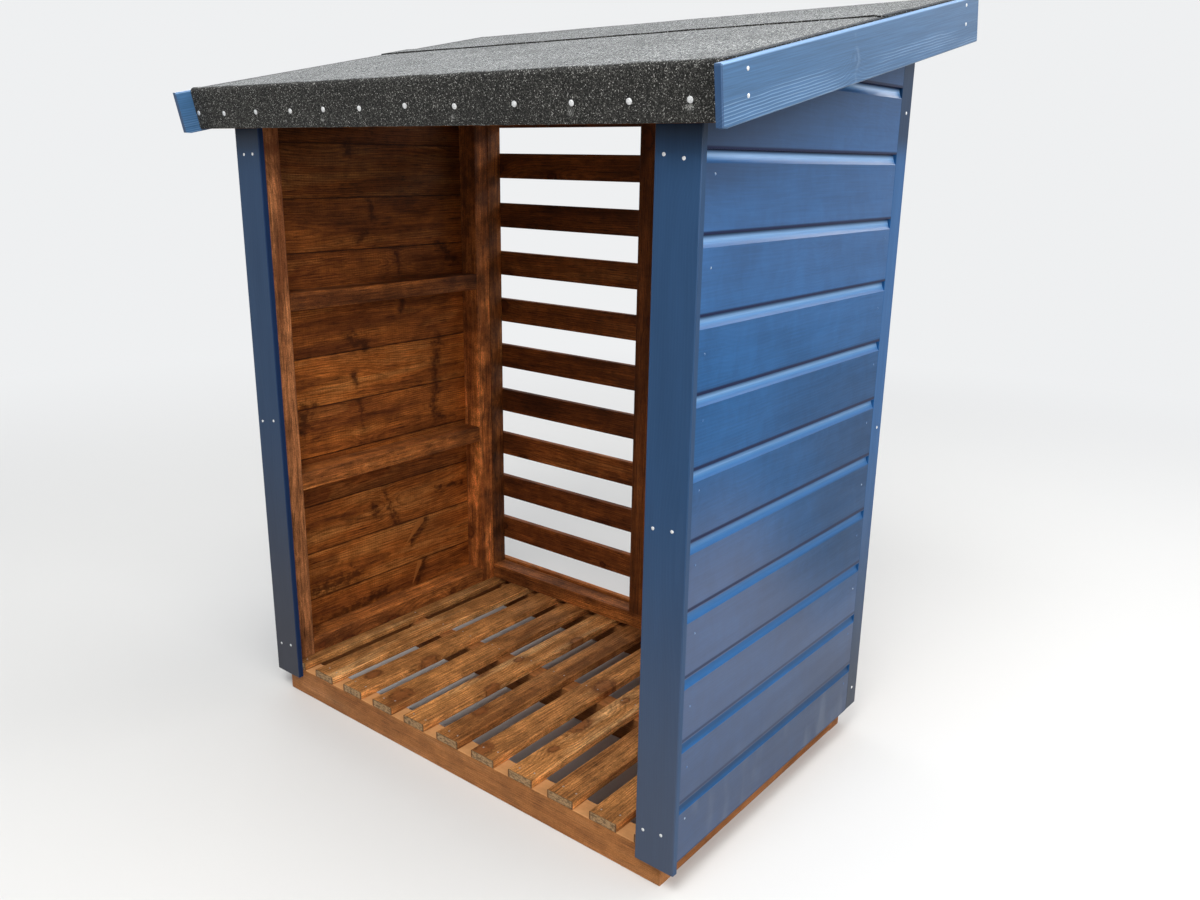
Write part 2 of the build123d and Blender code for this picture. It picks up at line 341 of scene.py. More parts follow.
    def finish(self, colour, rough, normal=None, specular=0.5, metal=0.0):
        """Sets the surface's own sockets and returns the material."""
        inputs = self.bsdf.inputs
        self.link(colour, inputs["Base Color"])
        self.link(rough, inputs["Roughness"])
        if normal is not None:
            self.link(normal, inputs["Normal"])
        inputs["Specular IOR Level"].default_value = specular
        inputs["Metallic"].default_value = metal
        return self.material


def squared(value):
    return value * value


def hypot(a, b):
    return (squared(a) + squared(b)).sqrt()


def bell(value, sharp=1.0):
    """1 where the value is zero, falling off on both sides."""
    return (squared(value) * -sharp).exp()


# Timber
def flow(sh, run, across, depth, per_metre, cross, **look):
    """Noise drawn out along the grain: per_metre along it, cross per metre over it."""
    return sh.noise(sh.join(run * per_metre, across * cross, depth * cross), **look)


def torn_grain(sh, run, across, depth, board, seed, share, ragged):
    """Torn grain that crosses a board: light spikes, the shade beside them, and the share by
    which the growth rings bend there. Some tears have no spike and only bow the shade."""
    bay = run / SPIKE_STEP
    number = bay.floor()
    key = board * 13.0 + (number + (seed + 5.3))
    there, lean, width = sh.random(key)
    place, kind, reach_in = sh.random(key + 57.1)
    there = there > 1.0 - share
    lean = (lean - 0.5) * 0.7
    off = lean * across + (bay - number - (place * 0.6 + 0.2)) * SPIKE_STEP
    torn = flow(sh, run, across, depth, 42.0, 42.0, detail=4.0, rough=0.6)
    off = (torn - 0.5) * 0.034 + off
    from_edge = across / (COVER / 2) * ((width > 0.4) * 2.0 - 1.0)
    reached = from_edge + reach_in
    spread = (reached * (width * 0.006 + 0.0035)).at_least(0.0)
    wedge = kind > 0.72
    spike = there * wedge * sh.span(spread - abs(off), -0.0022, 0.003)
    beside = wedge * bell((off - (spread * 0.8 + 0.003)) / 0.014)
    bow_width = abs(from_edge + (reach_in * 0.8 - 0.4)) * 0.012 + 0.0028
    bow = (1.0 - wedge) * bell(off / bow_width)
    shade = beside.at_least(bow) * there * sh.span(ragged, 0.3, 0.62, 0.25, 1.0)
    shade = shade * sh.span(reached, -0.7, 0.5, 0.15, 1.0) * (1.0 - spike)
    return spike, shade, bell(off, 900.0) * there


def grain(sh, along, across, depth, board, seed, ring_gap=0.0046, heart=None, knot_share=0.5,
          knot_size=0.011, spike_share=0.0, knots=()):
    """Growth rings, streaks and knots of sawn pine, as shares from 0 to 1.

    along runs with the grain; across and depth are measured from the board's middle, and
    board numbers the boards so that each gets its own cut of the tree. heart sets the tree's
    centre across and below the board; knots lists round knots as (along, across, radius)."""
    first, second, third = sh.random(board + seed)
    run = first * 17.0 + along
    sway = sh.noise(sh.join(run * 1.7, second, third), detail=1.0)
    rise = sh.noise(sh.join(run * 2.6, third, across * 9.0), detail=1.0)
    if heart:
        side, below, swing = across - heart[0], depth + heart[1], 0.25
    else:
        side, below, swing = (second - 0.5) * 0.16 + across, third * 0.03 + 0.012 + depth, 1.0
    side = (sway - 0.5) * (0.07 * swing) + side
    below = (rise - 0.5) * (0.04 * swing) + below
    radius = hypot(side, below)

    far, (kept, size, _) = sh.cells(sh.join(
        run / KNOT_GRID[0], board * 7.31 + across / KNOT_GRID[1], 0.0), flat=True)
    kept = kept > 1.0 - knot_share
    size = size * knot_size + 0.6 * knot_size
    reach = far * KNOT_GRID[1] / size + (1.0 - kept) * 60.0
    for knot_along, knot_across, knot_radius in knots:
        reach = reach.at_most(hypot(along - knot_along, across - knot_across) / knot_radius)
    radius = bell(reach, 0.16) * 0.012 + radius
    ragged = flow(sh, run, across, depth, 110.0, 110.0, detail=3.0)
    reach = (ragged - 0.5) * 1.1 + reach
    knot = sh.span(reach, 1.2, 0.8)
    rim = knot * sh.span(reach, 0.3, 0.95) * sh.span(ragged, 0.4, 0.58, 0.25, 1.0)

    spike = shade = None
    if spike_share:
        spike, shade, bend = torn_grain(sh, run, across, depth, board, seed, spike_share, ragged)
        radius = bend * 0.008 + radius

    wander = flow(sh, run, across, depth, 14.0, 60.0, detail=2.0)
    tooth = ((wander * 0.003 + radius) / ring_gap).fract()
    rings = sh.span(tooth, 0.3, 0.9) * sh.span(tooth, 1.0, 0.93)
    inner = (reach * 3.4).fract()
    rings = rings * (1.0 - knot) + inner * (knot * 0.6)
    point = sh.join(run, across, depth)
    return {"rings": rings, "reach": reach, "run": run, "across": across, "depth": depth,
            "knot": knot, "rim": rim, "smear": bell(reach, 0.2), "spike": spike, "shade": shade,
            "tone": third,
            "patch": sh.noise(point, 26.0, 4.0, 0.62),
            "speck": sh.noise(point, 420.0, 2.0, 0.6),
            "wood": flow(sh, across, run, depth, 14.0, 420.0),
            "fine": flow(sh, run, across, depth, 9.0, 520.0, detail=3.0, rough=0.7),
            "broad": flow(sh, run, across, depth, 3.2, 30.0, detail=3.0, rough=0.6),
            "fleck": flow(sh, run, across, depth, 55.0, 640.0, detail=2.0, rough=0.6),
            "pores": flow(sh, run, across, depth, 24.0, 260.0, detail=2.0, rough=0.5)}


def stain_colour(sh, g, tones, contrast, patchy, board_tone=0.35, shift=0.0, chatter=0.0,
                 figure=0.0, lit=None):
    """Brown stain over pine: it takes darker round the knots and in the torn grain.

    The blotch share adds blotches of weather and wear, with painted dappled shade; chatter the
    saw's marks; figure draws the heartwood as dark tongues with a clean edge; lit scales the
    whole colour as painted light and shade."""
    dark, middle, light, warm = tones
    blotch = (g["tone"] - 0.5) * board_tone + g["broad"] + shift
    colour = sh.ramp(blotch, [(0.26, dark), (0.45, middle), (0.6, warm), (0.78, light)])
    if figure:
        heartwood = flow(sh, g["run"], g["across"], g["depth"], 2.3, 13.0, detail=2.0,
                         rough=0.4, distortion=0.5)
        tongue = sh.span(heartwood, 0.585, 0.615) * sh.span(heartwood, 0.72, 0.6, 0.3, 1.0)
        colour = sh.mix(tongue * figure, colour, scaled(dark, 0.62))
        sap = sh.span(heartwood, 0.42, 0.385) * sh.span(heartwood, 0.25, 0.38, 0.3, 1.0)
        colour = sh.mix(sap * (0.55 * figure), colour, light)
    colour = sh.mix(g["rings"] * (0.38 * contrast), colour, scaled(middle, 0.32))
    value = sh.span(g["fine"], 0.36, 0.7, 1.0 - 0.3 * contrast, 1.0 + 0.3 * contrast)
    value = value * sh.span(g["fleck"], 0.54, 0.7, 1.0, 1.0 - 0.42 * contrast)
    value = value * sh.span(g["pores"], 0.58, 0.72, 1.0, 1.0 - 0.5 * contrast)
    value = value * sh.span(g["patch"], 0.34, 0.66, 1.0 + 0.9 * patchy, 1.0 - 0.9 * patchy)
    value = value * sh.span(g["speck"], 0.36, 0.66, 1.0 + 0.6 * patchy, 1.0 - patchy)
    if chatter:
        mark = (g["run"] * (2 * math.pi / SAW_STEP)).sine()
        value = value * (mark * sh.span(g["broad"], 0.45, 0.62) * chatter + 1.0)
    if lit:
        value = value * lit
    colour = sh.shade(colour, value)
    colour = sh.mix(g["smear"] * 0.5, colour, scaled(dark, 0.7))
    colour = sh.mix(g["knot"] * 0.66, colour, tuple(a * b for a, b in zip(middle, KNOT_TINT)))
    colour = sh.mix(g["rim"] * 0.82, colour, scaled(dark, 0.34))
    if g["spike"]:
        colour = sh.mix(g["shade"] * 0.92, colour, scaled(dark, 0.34))
        colour = sh.mix(g["spike"] * sh.span(g["wood"], 0.3, 0.7, 0.55, 0.85), colour,
                        tuple(0.4 * a + 0.6 * b for a, b in zip(warm, light)))
    return colour


def stroke(sh, at, up, torn, line, sharp=False):
    """Share of a mark drawn along line = (at, up, at, up, half width), with a torn outline."""
    at_0, up_0, at_1, up_1, width = line
    run, rise = at_1 - at_0, up_1 - up_0
    square = run * run + rise * rise
    off_at, off_up = at - at_0, up - up_0
    share = (off_at * (run / square) + off_up * (rise / square)).clamped()
    away = hypot(share * -run + off_at, share * -rise + off_up) / width
    if sharp:
        return sh.span(share * 0.9 + (torn * 0.6 + away), 1.25, 0.95)
    away = torn * 5.0 + away
    return (away * abs(away) * -1.0).exp().clamped()


def stain_bump(sh, g):
    height = g["fine"] * 0.6 + g["rings"] * 0.3 - g["fleck"] * 0.25 - g["rim"] * 0.8
    return sh.bump(height, 0.0005, 0.5)


def sawn_end(sh, across, depth, board, end_tone, half_size, rim_tone):
    """End grain of a slat: growth rings, dirt in them, and stain round the rim."""
    edge = (abs(across) / half_size[0]).at_least(abs(depth) / half_size[1])
    dirt = sh.noise(sh.join(across * 120.0, depth * 210.0, board), detail=4.0)
    ring = (dirt * 0.5 + hypot(across, depth + 0.03) / END_RING).fract()
    face = sh.mix(sh.span(dirt, 0.42, 0.62), end_tone, scaled(end_tone, 0.38))
    face = sh.mix(sh.span(ring, 0.5, 0.95) * 0.35, face, scaled(end_tone, 0.45))
    return sh.mix(sh.span(edge, 0.82, 0.97, 0.0, 0.85), face, rim_tone)


def stained(name, axes, tones, seed, pitch=None, start=0.0, centre=(0.0, 0.0), rough=0.62,
            contrast=1.0, patchy=0.2, lit=None, top_tone=None, end_tone=None, half_size=None,
            edge_wear=0.0, **cut):
    """Brown-stained timber. axes names the grain, face and depth axes, such as "yzx".

    pitch and start number boards that share a node; lit is (low, high, share at low, share at
    high): painted light and shade, how much the colour is brightened or darkened with height."""
    sh = Shader(name)
    along, across, depth = sh.place_by(axes)
    if pitch:
        board = ((across - start) / pitch).floor()
        across = across - ((board + 0.5) * pitch + start)
    else:
        board = seed + 0.5
        across = across - centre[0]
    depth = depth - centre[1]
    g = grain(sh, along, across, depth, board, seed, **cut)
    # Painted light and shade: the colour scaled with height
    if lit:
        lit = sh.span(sh.place()[2], *lit)
    colour = stain_colour(sh, g, tones, contrast, patchy, lit=lit)
    # Paler along the edges; painted light makes the slats' sides lighter, and painted shade
    # darkens them by the left wall
    if edge_wear:
        pale_edge = sh.span(abs(across), edge_wear, edge_wear + 0.0025, 1.0, 1.15)
        lit_side = sh.span(abs(sh.normal()[0]), 0.6, 0.9, 1.0, 1.36)
        painted_shade = sh.span(sh.place()[0], -0.5, -0.26, 0.58, 1.0)
        colour = sh.shade(colour, pale_edge * lit_side * painted_shade)
    if top_tone:
        upward = sh.span(sh.normal()[2], 0.6, 0.9)
        colour = sh.mix(upward * sh.span(g["patch"], 0.35, 0.65, 1.0, 0.7), colour, top_tone)
    if end_tone:
        facing_end = abs(sh.normal()["xyz".index(axes[0])])
        colour = sh.mix(sh.span(facing_end, 0.7, 0.9), colour, sawn_end(
            sh, across, depth, board, end_tone, half_size, scaled(tones[0], 0.5)))
    gloss = sh.span(g["broad"], 0.3, 0.7, rough + 0.1, rough - 0.08)
    return sh.finish(colour, gloss, stain_bump(sh, g), 0.16)


# Blue paint
def painted(sh, g, base, relief):
    """Satin blue paint over planed pine: brush marks, and grain that shows as fine relief."""
    tint = (g["tone"] - 0.5) * 0.08 + sh.span(g["broad"], 0.25, 0.75, 0.92, 1.08)
    colour = sh.shade(base, tint * sh.span(g["fine"], 0.3, 0.7, 0.955, 1.045))
    worn = tuple(min(1.0, 1.6 * c + 0.03) for c in base)
    colour = sh.mix(g["rings"] * (0.16 * relief), colour, worn)
    colour = sh.mix(g["rim"] * (0.25 * relief), colour, scaled(base, 0.6))
    height = g["rings"] * (0.45 * relief) + g["fine"] * 0.5 - g["rim"] * (0.4 * relief)
    rough = sh.span(g["broad"], 0.3, 0.7, 0.38, 0.3)
    return colour, rough, sh.bump(height, 0.0003, 0.4)


def one_board(sh, axes, centre, seed, **cut):
    """Place along and across a board that has a node of its own, and its grain."""
    along, across, depth = sh.place_by(axes)
    across = across - centre[0]
    return along, across, grain(sh, along, across, depth - centre[1], seed + 0.5, seed, **cut)


def barge_paint(name, side, seed):
    """Bargeboard: paint worn to the lines of the grain, a painted highlight along its upper edge
    and painted shade on its front end.
    """
    sh = Shader(name)
    along, across, g = one_board(sh, "snx", (0.0, side * BARGE_X), seed, ring_gap=0.0036,
                                 heart=(0.035, 0.05), knot_share=0.0, knots=(BARGE_KNOT,))
    strength = sh.span(across, -0.03, -0.052, 0.12, 1.0)
    g["rings"] = g["rings"] * (strength * sh.span(g["broad"], 0.3, 0.65, 0.35, 1.0))
    # The paler blue is a painted reflection of the sky
    colour, rough, normal = painted(sh, g, LIT_BARGE_BLUE, 1.6)
    arc = sh.span(g["reach"], 0.9, 1.25) * sh.span(g["reach"], 2.0, 1.3)
    arc = arc * sh.span(along - BARGE_KNOT[0], 0.0, 0.012)
    streak = sh.span(abs(along - (BARGE_KNOT[0] + 0.005)), 0.006, 0.001)
    streak = streak * sh.span(g["patch"], 0.42, 0.6)
    colour = sh.mix(arc.at_least(streak * 0.7) * 0.13, colour, rgb(168, 190, 218))
    # Painted highlight along the upper edge
    colour = sh.mix(sh.span(across, -0.0058, -0.004) * 0.75, colour, rgb(142, 178, 222))
    colour = sh.mix(sh.span(g["rings"], 0.35, 0.9) * 0.45, colour, rgb(150, 182, 218))
    colour = sh.shade(colour, sh.span(g["fine"], 0.35, 0.68, 0.9, 1.1))
    # Painted shade on the front end
    facing_front = sh.span(sh.normal()[1], -0.4, -0.8)
    colour = sh.mix(facing_front * 0.85, colour, SHADED_BARGE_END)
    return sh.finish(colour, rough, normal, 0.24)


def trim_paint(name, axes, base, seed, centre, dust_and_light, dust_and_light_share, relief, knot_share, specular):
    """Corner board: towards the ground the given dust, which carries painted light; painted shade
    under the eaves and on its inner edge.
    """
    sh = Shader(name)
    along, _, g = one_board(sh, axes, centre, seed, knot_share=knot_share)
    colour, rough, normal = painted(sh, g, base, relief)
    # Painted shade under the eaves
    colour = sh.shade(colour, sh.span(along, 1.16, 1.215, 1.0, 0.3))
    facing = sh.normal()
    face = sh.span(abs(facing["xyz".index(axes[2])]), 0.4, 0.8)
    # Towards the ground the given dust: with painted reflection on the right trim, darkened as
    # painted shade on the left trim and the strips
    colour = sh.mix(sh.span(along, 0.75, 0.05, 0.0, dust_and_light_share) * face, colour, dust_and_light)
    # Painted shade on the inner edge
    inward = facing[0] * sh.place()[0].sign()
    colour = sh.mix(sh.span(inward, -0.4, -0.8, 0.0, 0.88), colour, SHADED_EDGE_NAVY)
    return sh.finish(colour, rough, normal, specular)


def weathered_blue(sh, side, y, z, depth, blue):
    """The wall's paint: cloudy, with painted shade under the eaves, dust and a painted reflection
    of the ground low down, and splashed towards the ground.
    """
    cloud = sh.noise(sh.join(y, z, 2.0 + side), 7.0, 3.0, 0.55)
    smudge = sh.noise(sh.join(y, z * 0.6, 5.0 + side), 34.0, 4.0, 0.6, 0.6)
    brush = flow(sh, y, z, depth, 6.0, 260.0, detail=3.0, rough=0.65)
    # Painted shade darkens the top of the wall under the roof
    shade = sh.span(cloud, 0.3, 0.7, 0.91, 1.09) * sh.span(z, 1.02, 1.26, 1.0, 0.85)
    marks = sh.span(smudge, 0.36, 0.68, 0.955, 1.07) * sh.span(brush, 0.35, 0.65, 0.955, 1.045)
    blue = sh.shade(blue, shade * marks)
    # Painted shade under the bargeboard, strongest at the front
    below_roof = sh.place_by("sn")[1]
    painted_shade = sh.span(below_roof, -0.23, -0.11) * sh.span(cloud, 0.25, 0.6, 0.5, 0.8)
    painted_shade = painted_shade * sh.span(y, -0.28, 0.12, 1.0, 0.45)
    blue = sh.mix(painted_shade, blue, EAVES_SHADE_BLUE)
    # Dust with a painted reflection of the ground low down, and a painted sheen greying the upper
    # boards
    flat = sh.span(sh.normal()[2], 0.25, 0.05)
    dust_and_light_top = sh.span(y, -0.28, 0.24, 0.78, 0.48)
    dust_and_light = flat * sh.span(z - dust_and_light_top, 0.0, -0.26, 0.0, 0.57)
    dust_and_light = dust_and_light.at_least(sh.span(z, 0.84, 1.06, 0.0, 0.17))
    blue = sh.mix(dust_and_light, blue, WALL_DUST_AND_REFLECTION)
    # Painted shade: a darker band above half height, darkest at half height towards the rear, and
    # darker at the foot; painted light lifts the top a little
    far = sh.span(y, -0.25, 0.22)
    belt = sh.span(z, 0.98, 0.84) * sh.span(z, 0.54, 0.68)
    belt = belt * 0.14 - sh.span(z, 0.97, 1.1, 0.0, 0.1)
    belly = far * (sh.span(z, 0.92, 0.58) * sh.span(z, 0.26, 0.46))
    foot = sh.span(z, 0.38, 0.12) * (far * 0.14 + 0.22)
    blue = sh.shade(blue, (1.0 - belt) * ((1.0 - belly * 0.48) * (1.0 - foot)))
    splash = sh.noise(sh.join(y * 20.0, z * 7.0, side), 1.0, 2.0, 0.5)
    splash = sh.span(splash, 0.48, 0.75) * flat * sh.span(z, 0.22, 0.13, 0.0, 0.16)
    return sh.mix(splash, blue, SPLASH)


def lip_and_hollow(sh, g, z, across, blue):
    """Painted highlight in the hollow, palest under the lip and dark right under it; a painted
    shadow line along the lip's edge.
    """
    lip = COVER / 2 - REBATE - across
    hollow = (lip > 0.0) * sh.span(lip, 0.0195, sh.span(z, 0.15, 0.9, 0.0105, 0.0165))
    high = sh.ramp(lip / 0.018, HOLLOW_LIGHT_HIGH)
    low = sh.mix(sh.span(z, 0.18, 0.42), HOLLOW_LIGHT_FOOT, HOLLOW_LIGHT_LOW)
    blue = sh.mix(hollow * sh.span(g["fine"], 0.3, 0.7, 0.72, 0.95), blue,
                  sh.mix(sh.span(z, 0.36, 0.92), low, high))
    # Painted shadow along the lip's lower edge
    off = lip - sh.span(z, 0.55, 1.05, -0.0036, -0.0005)
    line = sh.span(off, -0.0052, -0.0016) * sh.span(off, 0.003, 0.001)
    return sh.mix(line * sh.span(z, 0.15, 0.6, 0.55, 0.97), blue, LIP_SHADOW_BLUE)


def wall_material(name, side, seed):
    """Shiplap board: blue outside, brown stain inside, told apart by the depth in the board."""
    sh = Shader(name)
    x, y, z = sh.place()
    joint_1 = COURSE_1 + REBATE
    board = ((z - joint_1) / COVER).floor()
    across = z - ((board + 0.5) * COVER + joint_1)
    depth = x - side * CLAD_X
    in_view = side < 0
    g = grain(sh, y, across, depth, board, seed, knot_share=0.0 if in_view else 0.3,
              spike_share=0.12 if in_view else 0.3)
    if in_view:
        torn = flow(sh, y, z, depth, 55.0, 75.0, detail=5.0, rough=0.62) - 0.46
        for line in KNOT_MARKS:
            g["shade"] = g["shade"].at_least(stroke(sh, y, z, torn, line))
        g["shade"] = g["shade"] * sh.span(g["fine"], 0.3, 0.6, 0.6, 1.0)
        for line in SPIKE_MARKS:
            g["spike"] = g["spike"].at_least(stroke(sh, y, z, torn, line, sharp=True))
    blue, blue_rough, blue_normal = painted(sh, g, BLUE, 0.45)
    blue = weathered_blue(sh, side, y, z, depth, blue)
    blue = lip_and_hollow(sh, g, z, across, blue)

    # Painted light and shade inside: darker under the roof and near the floor, lighter low down
    # towards the rear
    lit = sh.span(z, 0.78, 1.18, 1.34, 0.46) * sh.span(z, 0.36, 0.6, 0.84, 1.0)
    lit = lit * sh.span(y, 0.1, 0.26, 1.0, sh.span(z, 0.9, 1.1, 1.45, 0.9))
    brown = stain_colour(sh, g, WALL, 1.25, 0.2, board_tone=0.26, shift=0.04, chatter=0.07,
                         figure=0.45, lit=lit)
    joint = sh.span(abs(across), COVER / 2 - 0.0026, COVER / 2 - 0.0008)
    brown = sh.mix(joint * sh.span(g["patch"], 0.3, 0.65, 0.45, 0.9), brown, scaled(WALL[0], 0.3))
    brown_rough = sh.span(g["broad"], 0.3, 0.7, 0.64, 0.5)
    in_joint = abs(across) > COVER / 2 - 0.0016
    outside = abs(x) > in_joint * 0.0023 + (CLAD_X + 0.0052)
    return sh.finish(sh.mix(outside, brown, blue),
                     sh.mix(outside, brown_rough, blue_rough, kind="FLOAT"),
                     sh.mix(outside, stain_bump(sh, g), blue_normal, kind="VECTOR"), 0.11)


# Felt and metal
def felt_material():
    """Bitumen felt faced with mineral grit: dark ground, grains from black to nearly white."""
    sh = Shader("mineral_felt")
    spot = sh.spot()
    pick = sh.cells(spot, 840.0)[1][0]
    along, across, depth = sh.place_by("sxn")
    flat_pick = sh.cells(sh.join(along * 0.5, across, depth), 760.0)[1][0]
    grit = sh.ramp(pick, [(0.0, rgb(20, 20, 20)), (0.5, rgb(35, 35, 34)),
                          (0.82, rgb(64, 64, 62)), (0.95, rgb(106, 106, 103)),
                          (1.0, rgb(188, 188, 185))])
    lit_grit = sh.ramp(flat_pick, [(0.0, rgb(54, 56, 58)), (0.3, rgb(90, 92, 94)),
                                    (0.7, rgb(133, 136, 138)), (1.0, rgb(218, 220, 218))])
    mealy = sh.noise(spot, 300.0, 2.0, 0.7) + sh.noise(spot, 95.0, 3.0, 0.65)
    # Painted light: grit facing up is paler than grit on the front fold
    facing_up = sh.span(sh.normal()[2], 0.66, 0.965)
    colour = sh.mix(facing_up, grit, sh.shade(lit_grit, sh.span(mealy, 0.78, 1.22, 0.74, 1.01)))
    # Scuffs under some clouts, where the hammer slipped, and the raw edge by the bargeboards
    loose = sh.noise(spot, 260.0, 3.0, 0.6)
    for scuff_x, scuff_up, size in FELT_SCUFFS:
        away = loose * 1.6 + hypot(across - scuff_x, depth - scuff_up) / size
        colour = sh.mix(sh.span(away, 1.75, 0.85) * sh.span(pick, 0.25, 0.75, 0.1, 0.8), colour,
                        rgb(168, 169, 167))
    raw = (sh.noise(spot, 90.0, 3.0, 0.6) - 0.5) * 0.014 + abs(across)
    raw = sh.span(raw, BARGE_X - 0.019, BARGE_X - 0.01) * facing_up
    colour = sh.mix(raw * 0.85, colour, rgb(44, 47, 54))
    colour = sh.shade(colour, sh.span(sh.noise(spot, 6.0, 3.0, 0.55), 0.3, 0.7, 0.9, 1.1))
    return sh.finish(colour, 0.88, sh.bump(pick, 0.0004, 0.25), 0.25)


def mottled(name, scale, stops, rough, metal=0.0, relief=False):
    """Small metal part whose colour is mottled between two stops."""
    sh = Shader(name)
    mottle = sh.noise(sh.spot(), scale, 2.0)
    normal = sh.bump(mottle, 0.0002, 0.3) if relief else None
    return sh.finish(sh.ramp(mottle, stops), rough, normal, metal=metal)


felt = felt_material()
zinc = mottled("galvanised_nail", 700.0, [(0.35, rgb(196, 198, 200)), (0.65, rgb(246, 247, 248))],
               0.42, metal=0.55, relief=True)
# Punched into the stained slats, with stain left on them
dull_zinc = mottled("slat_nail", 900.0, [(0.4, rgb(112, 92, 72)), (0.62, rgb(206, 202, 196))],
                    0.45, metal=0.4)
# Under the blue paint, rubbed pale on some
pin_paint = mottled("painted_pin", 160.0, [(0.46, scaled(BLUE, 1.1)), (0.6, rgb(176, 192, 210))],
                    0.35)


# Dressing the solids
def soften(obj, width):
    """Joins the split corners, clears the flat triangles and eases the edges."""
    weld = obj.modifiers.new("weld", "WELD")
    weld.merge_threshold = 0.00002
    flat = obj.modifiers.new("flat", "DECIMATE")
    flat.decimate_type = "DISSOLVE"
    flat.angle_limit = math.radians(0.5)
    ease = obj.modifiers.new("ease", "BEVEL")
    ease.width = width
    ease.segments = 2
    ease.limit_method = "ANGLE"
    ease.angle_limit = math.radians(50)


def dress(name, material, ease=0.0):
    obj = nodes[name]
    obj.data.materials.clear()
    obj.data.materials.append(material)
    if ease:
        soften(obj, ease)


SEEDS = iter(range(3, 400, 7))


def timber(name, look, axes, tones, **cut):
    """Dresses a node as stained timber with the next seed; look names the material."""
    dress(name, stained(look, axes, tones, next(SEEDS), **cut))


# part, tones, middle depth, blotches (weather, wear and painted dappled shade), knots, and lit:
# painted light and shade with height as (low, high, share at low, share at high)
STUDS = (("front_stud", STUD, FRAME_Y + STUD_D / 2, 0.3, (STUD_KNOT,), (0.15, 0.95, 0.92, 1.45)),
         ("rear_stud", RAIL, BACK_Y - STUD_D / 2, 0.42, (), (0.5, 1.15, 3.3, 1.65)),
         ("back_stud", RAIL, REAR_Y - STUD_D / 2, 0.42, (), (0.1, 1.2, 0.82, 0.95)))
for side, word in ((-1, "left"), (1, "right")):
    mid_x = side * (CLAD_X - STUD_W / 2)
    for part, tones, mid_y, patchy, knots, lit in STUDS:
        timber(f"{word}_{part}", f"stain_{word}_{part}", "zxy", tones, centre=(mid_x, mid_y),
               contrast=1.1, patchy=patchy, knots=knots, lit=lit)
    for part in ("bottom_rail", "lower_rail", "upper_rail", "top_rail"):
        low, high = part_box(f"{word}_{part}")
        timber(f"{word}_{part}", f"stain_{word}_{part}", "yzx", RAIL, contrast=1.25, patchy=0.3,
               centre=((low.z + high.z) / 2, mid_x), knot_share=0.8, lit=(0.1, 1.0, 1.3, 1.3))
    dress(f"{word}_shiplap_boards", wall_material(f"shiplap_{word}", side, next(SEEDS)))
    # The left trim is darkened as painted shade, and takes more dust, itself darkened as painted
    # shade
    base, dust_and_light, dust_and_light_share = ((SHADED_TRIM_BLUE, DUST_AND_REFLECTION, 0.42) if side > 0 else
                         (scaled(SHADED_TRIM_BLUE, 0.76), SHADED_DUST, 0.78))
    dress(f"{word}_front_trim", trim_paint(
        f"paint_{word}_trim", "zxy", base, next(SEEDS), (side * TRIM_X, FACE_Y), dust_and_light, dust_and_light_share,
        relief=0.35, knot_share=0.15, specular=0.15))
    dress(f"{word}_corner_strip", trim_paint(
        f"paint_{word}_strip", "zyx", BLUE, next(SEEDS), (BACK_Y + 0.022, side * CLAD_X),
        SHADED_STRIP_DUST, 1.0, relief=0.4, knot_share=0.1, specular=0.14), 0.001)
    dress(f"{word}_bargeboard", barge_paint(f"paint_{word}_barge", side, next(SEEDS)))
    low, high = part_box(f"{word}_side_bearer")
    timber(f"{word}_side_bearer", f"bearer_{word}", "yzx", TAN, contrast=0.5, patchy=0.14,
           centre=(BEARER_Z, (low.x + high.x) / 2))
    timber(f"{word}_roof_batten", f"batten_{word}", "snx", TAN, centre=(ROOF_MID, side * BATTEN_X))

for name in ("front_bearer", "middle_bearer", "back_bearer"):
    low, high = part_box(name)
    timber(name, f"bearer_{name}", "xzy", TAN, rough=0.5, centre=(BEARER_Z, (low.y + high.y) / 2),
           contrast=0.6, knot_share=0.35, patchy=0.16,
           top_tone=PALE_TAN if name == "front_bearer" else None)
for name in ("back_bottom_rail", "back_top_rail", "front_header"):
    low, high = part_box(name)
    timber(name, f"stain_{name}", "xzy", RAIL, contrast=1.3, patchy=0.3,
           centre=((low.z + high.z) / 2, (low.y + high.y) / 2), lit=(0.1, 1.0, 1.3, 1.0))
timber("back_centre_stud", "stain_centre_stud", "zxy", BROWN, centre=(0.0, REAR_Y - STUD_D / 2))
timber("middle_rafter", "stain_rafter", "snx", BROWN, centre=(ROOF_MID, 0.0))
timber("floor_slats", "stain_floor", "yxz", SLAT, pitch=SLAT_PITCH, start=-5.5 * SLAT_PITCH,
       centre=(0.0, SLAT_Z), rough=0.6, knot_share=0.85, knot_size=0.014, contrast=1.15,
       patchy=0.26, lit=(0.0, 1.0, 1.2, 1.2), edge_wear=0.027, end_tone=SLAT_END,
       half_size=SLAT_HALF)
timber("back_slats", "stain_back_slats", "xzy", DEEP, pitch=BACK_PITCH,
       start=BACK_FOOT - (BACK_PITCH - 2 * BACK_HALF[0]) / 2, centre=(0.0, REAR_Y + BACK_HALF[1]),
       contrast=1.2, knot_size=0.009, patchy=0.22, lit=(0.15, 1.15, 1.85, 1.1),
       end_tone=BACK_END, half_size=BACK_HALF)
for name in ("roof_deck", "front_fascia_board", "rear_fascia_board"):
    timber(name, f"deck_{name}", "xsn", TAN if name == "roof_deck" else DEEP, contrast=0.8)


def put(name, data):
    obj = bpy.data.objects.new(name, data)
    scene.collection.objects.link(obj)
    return obj


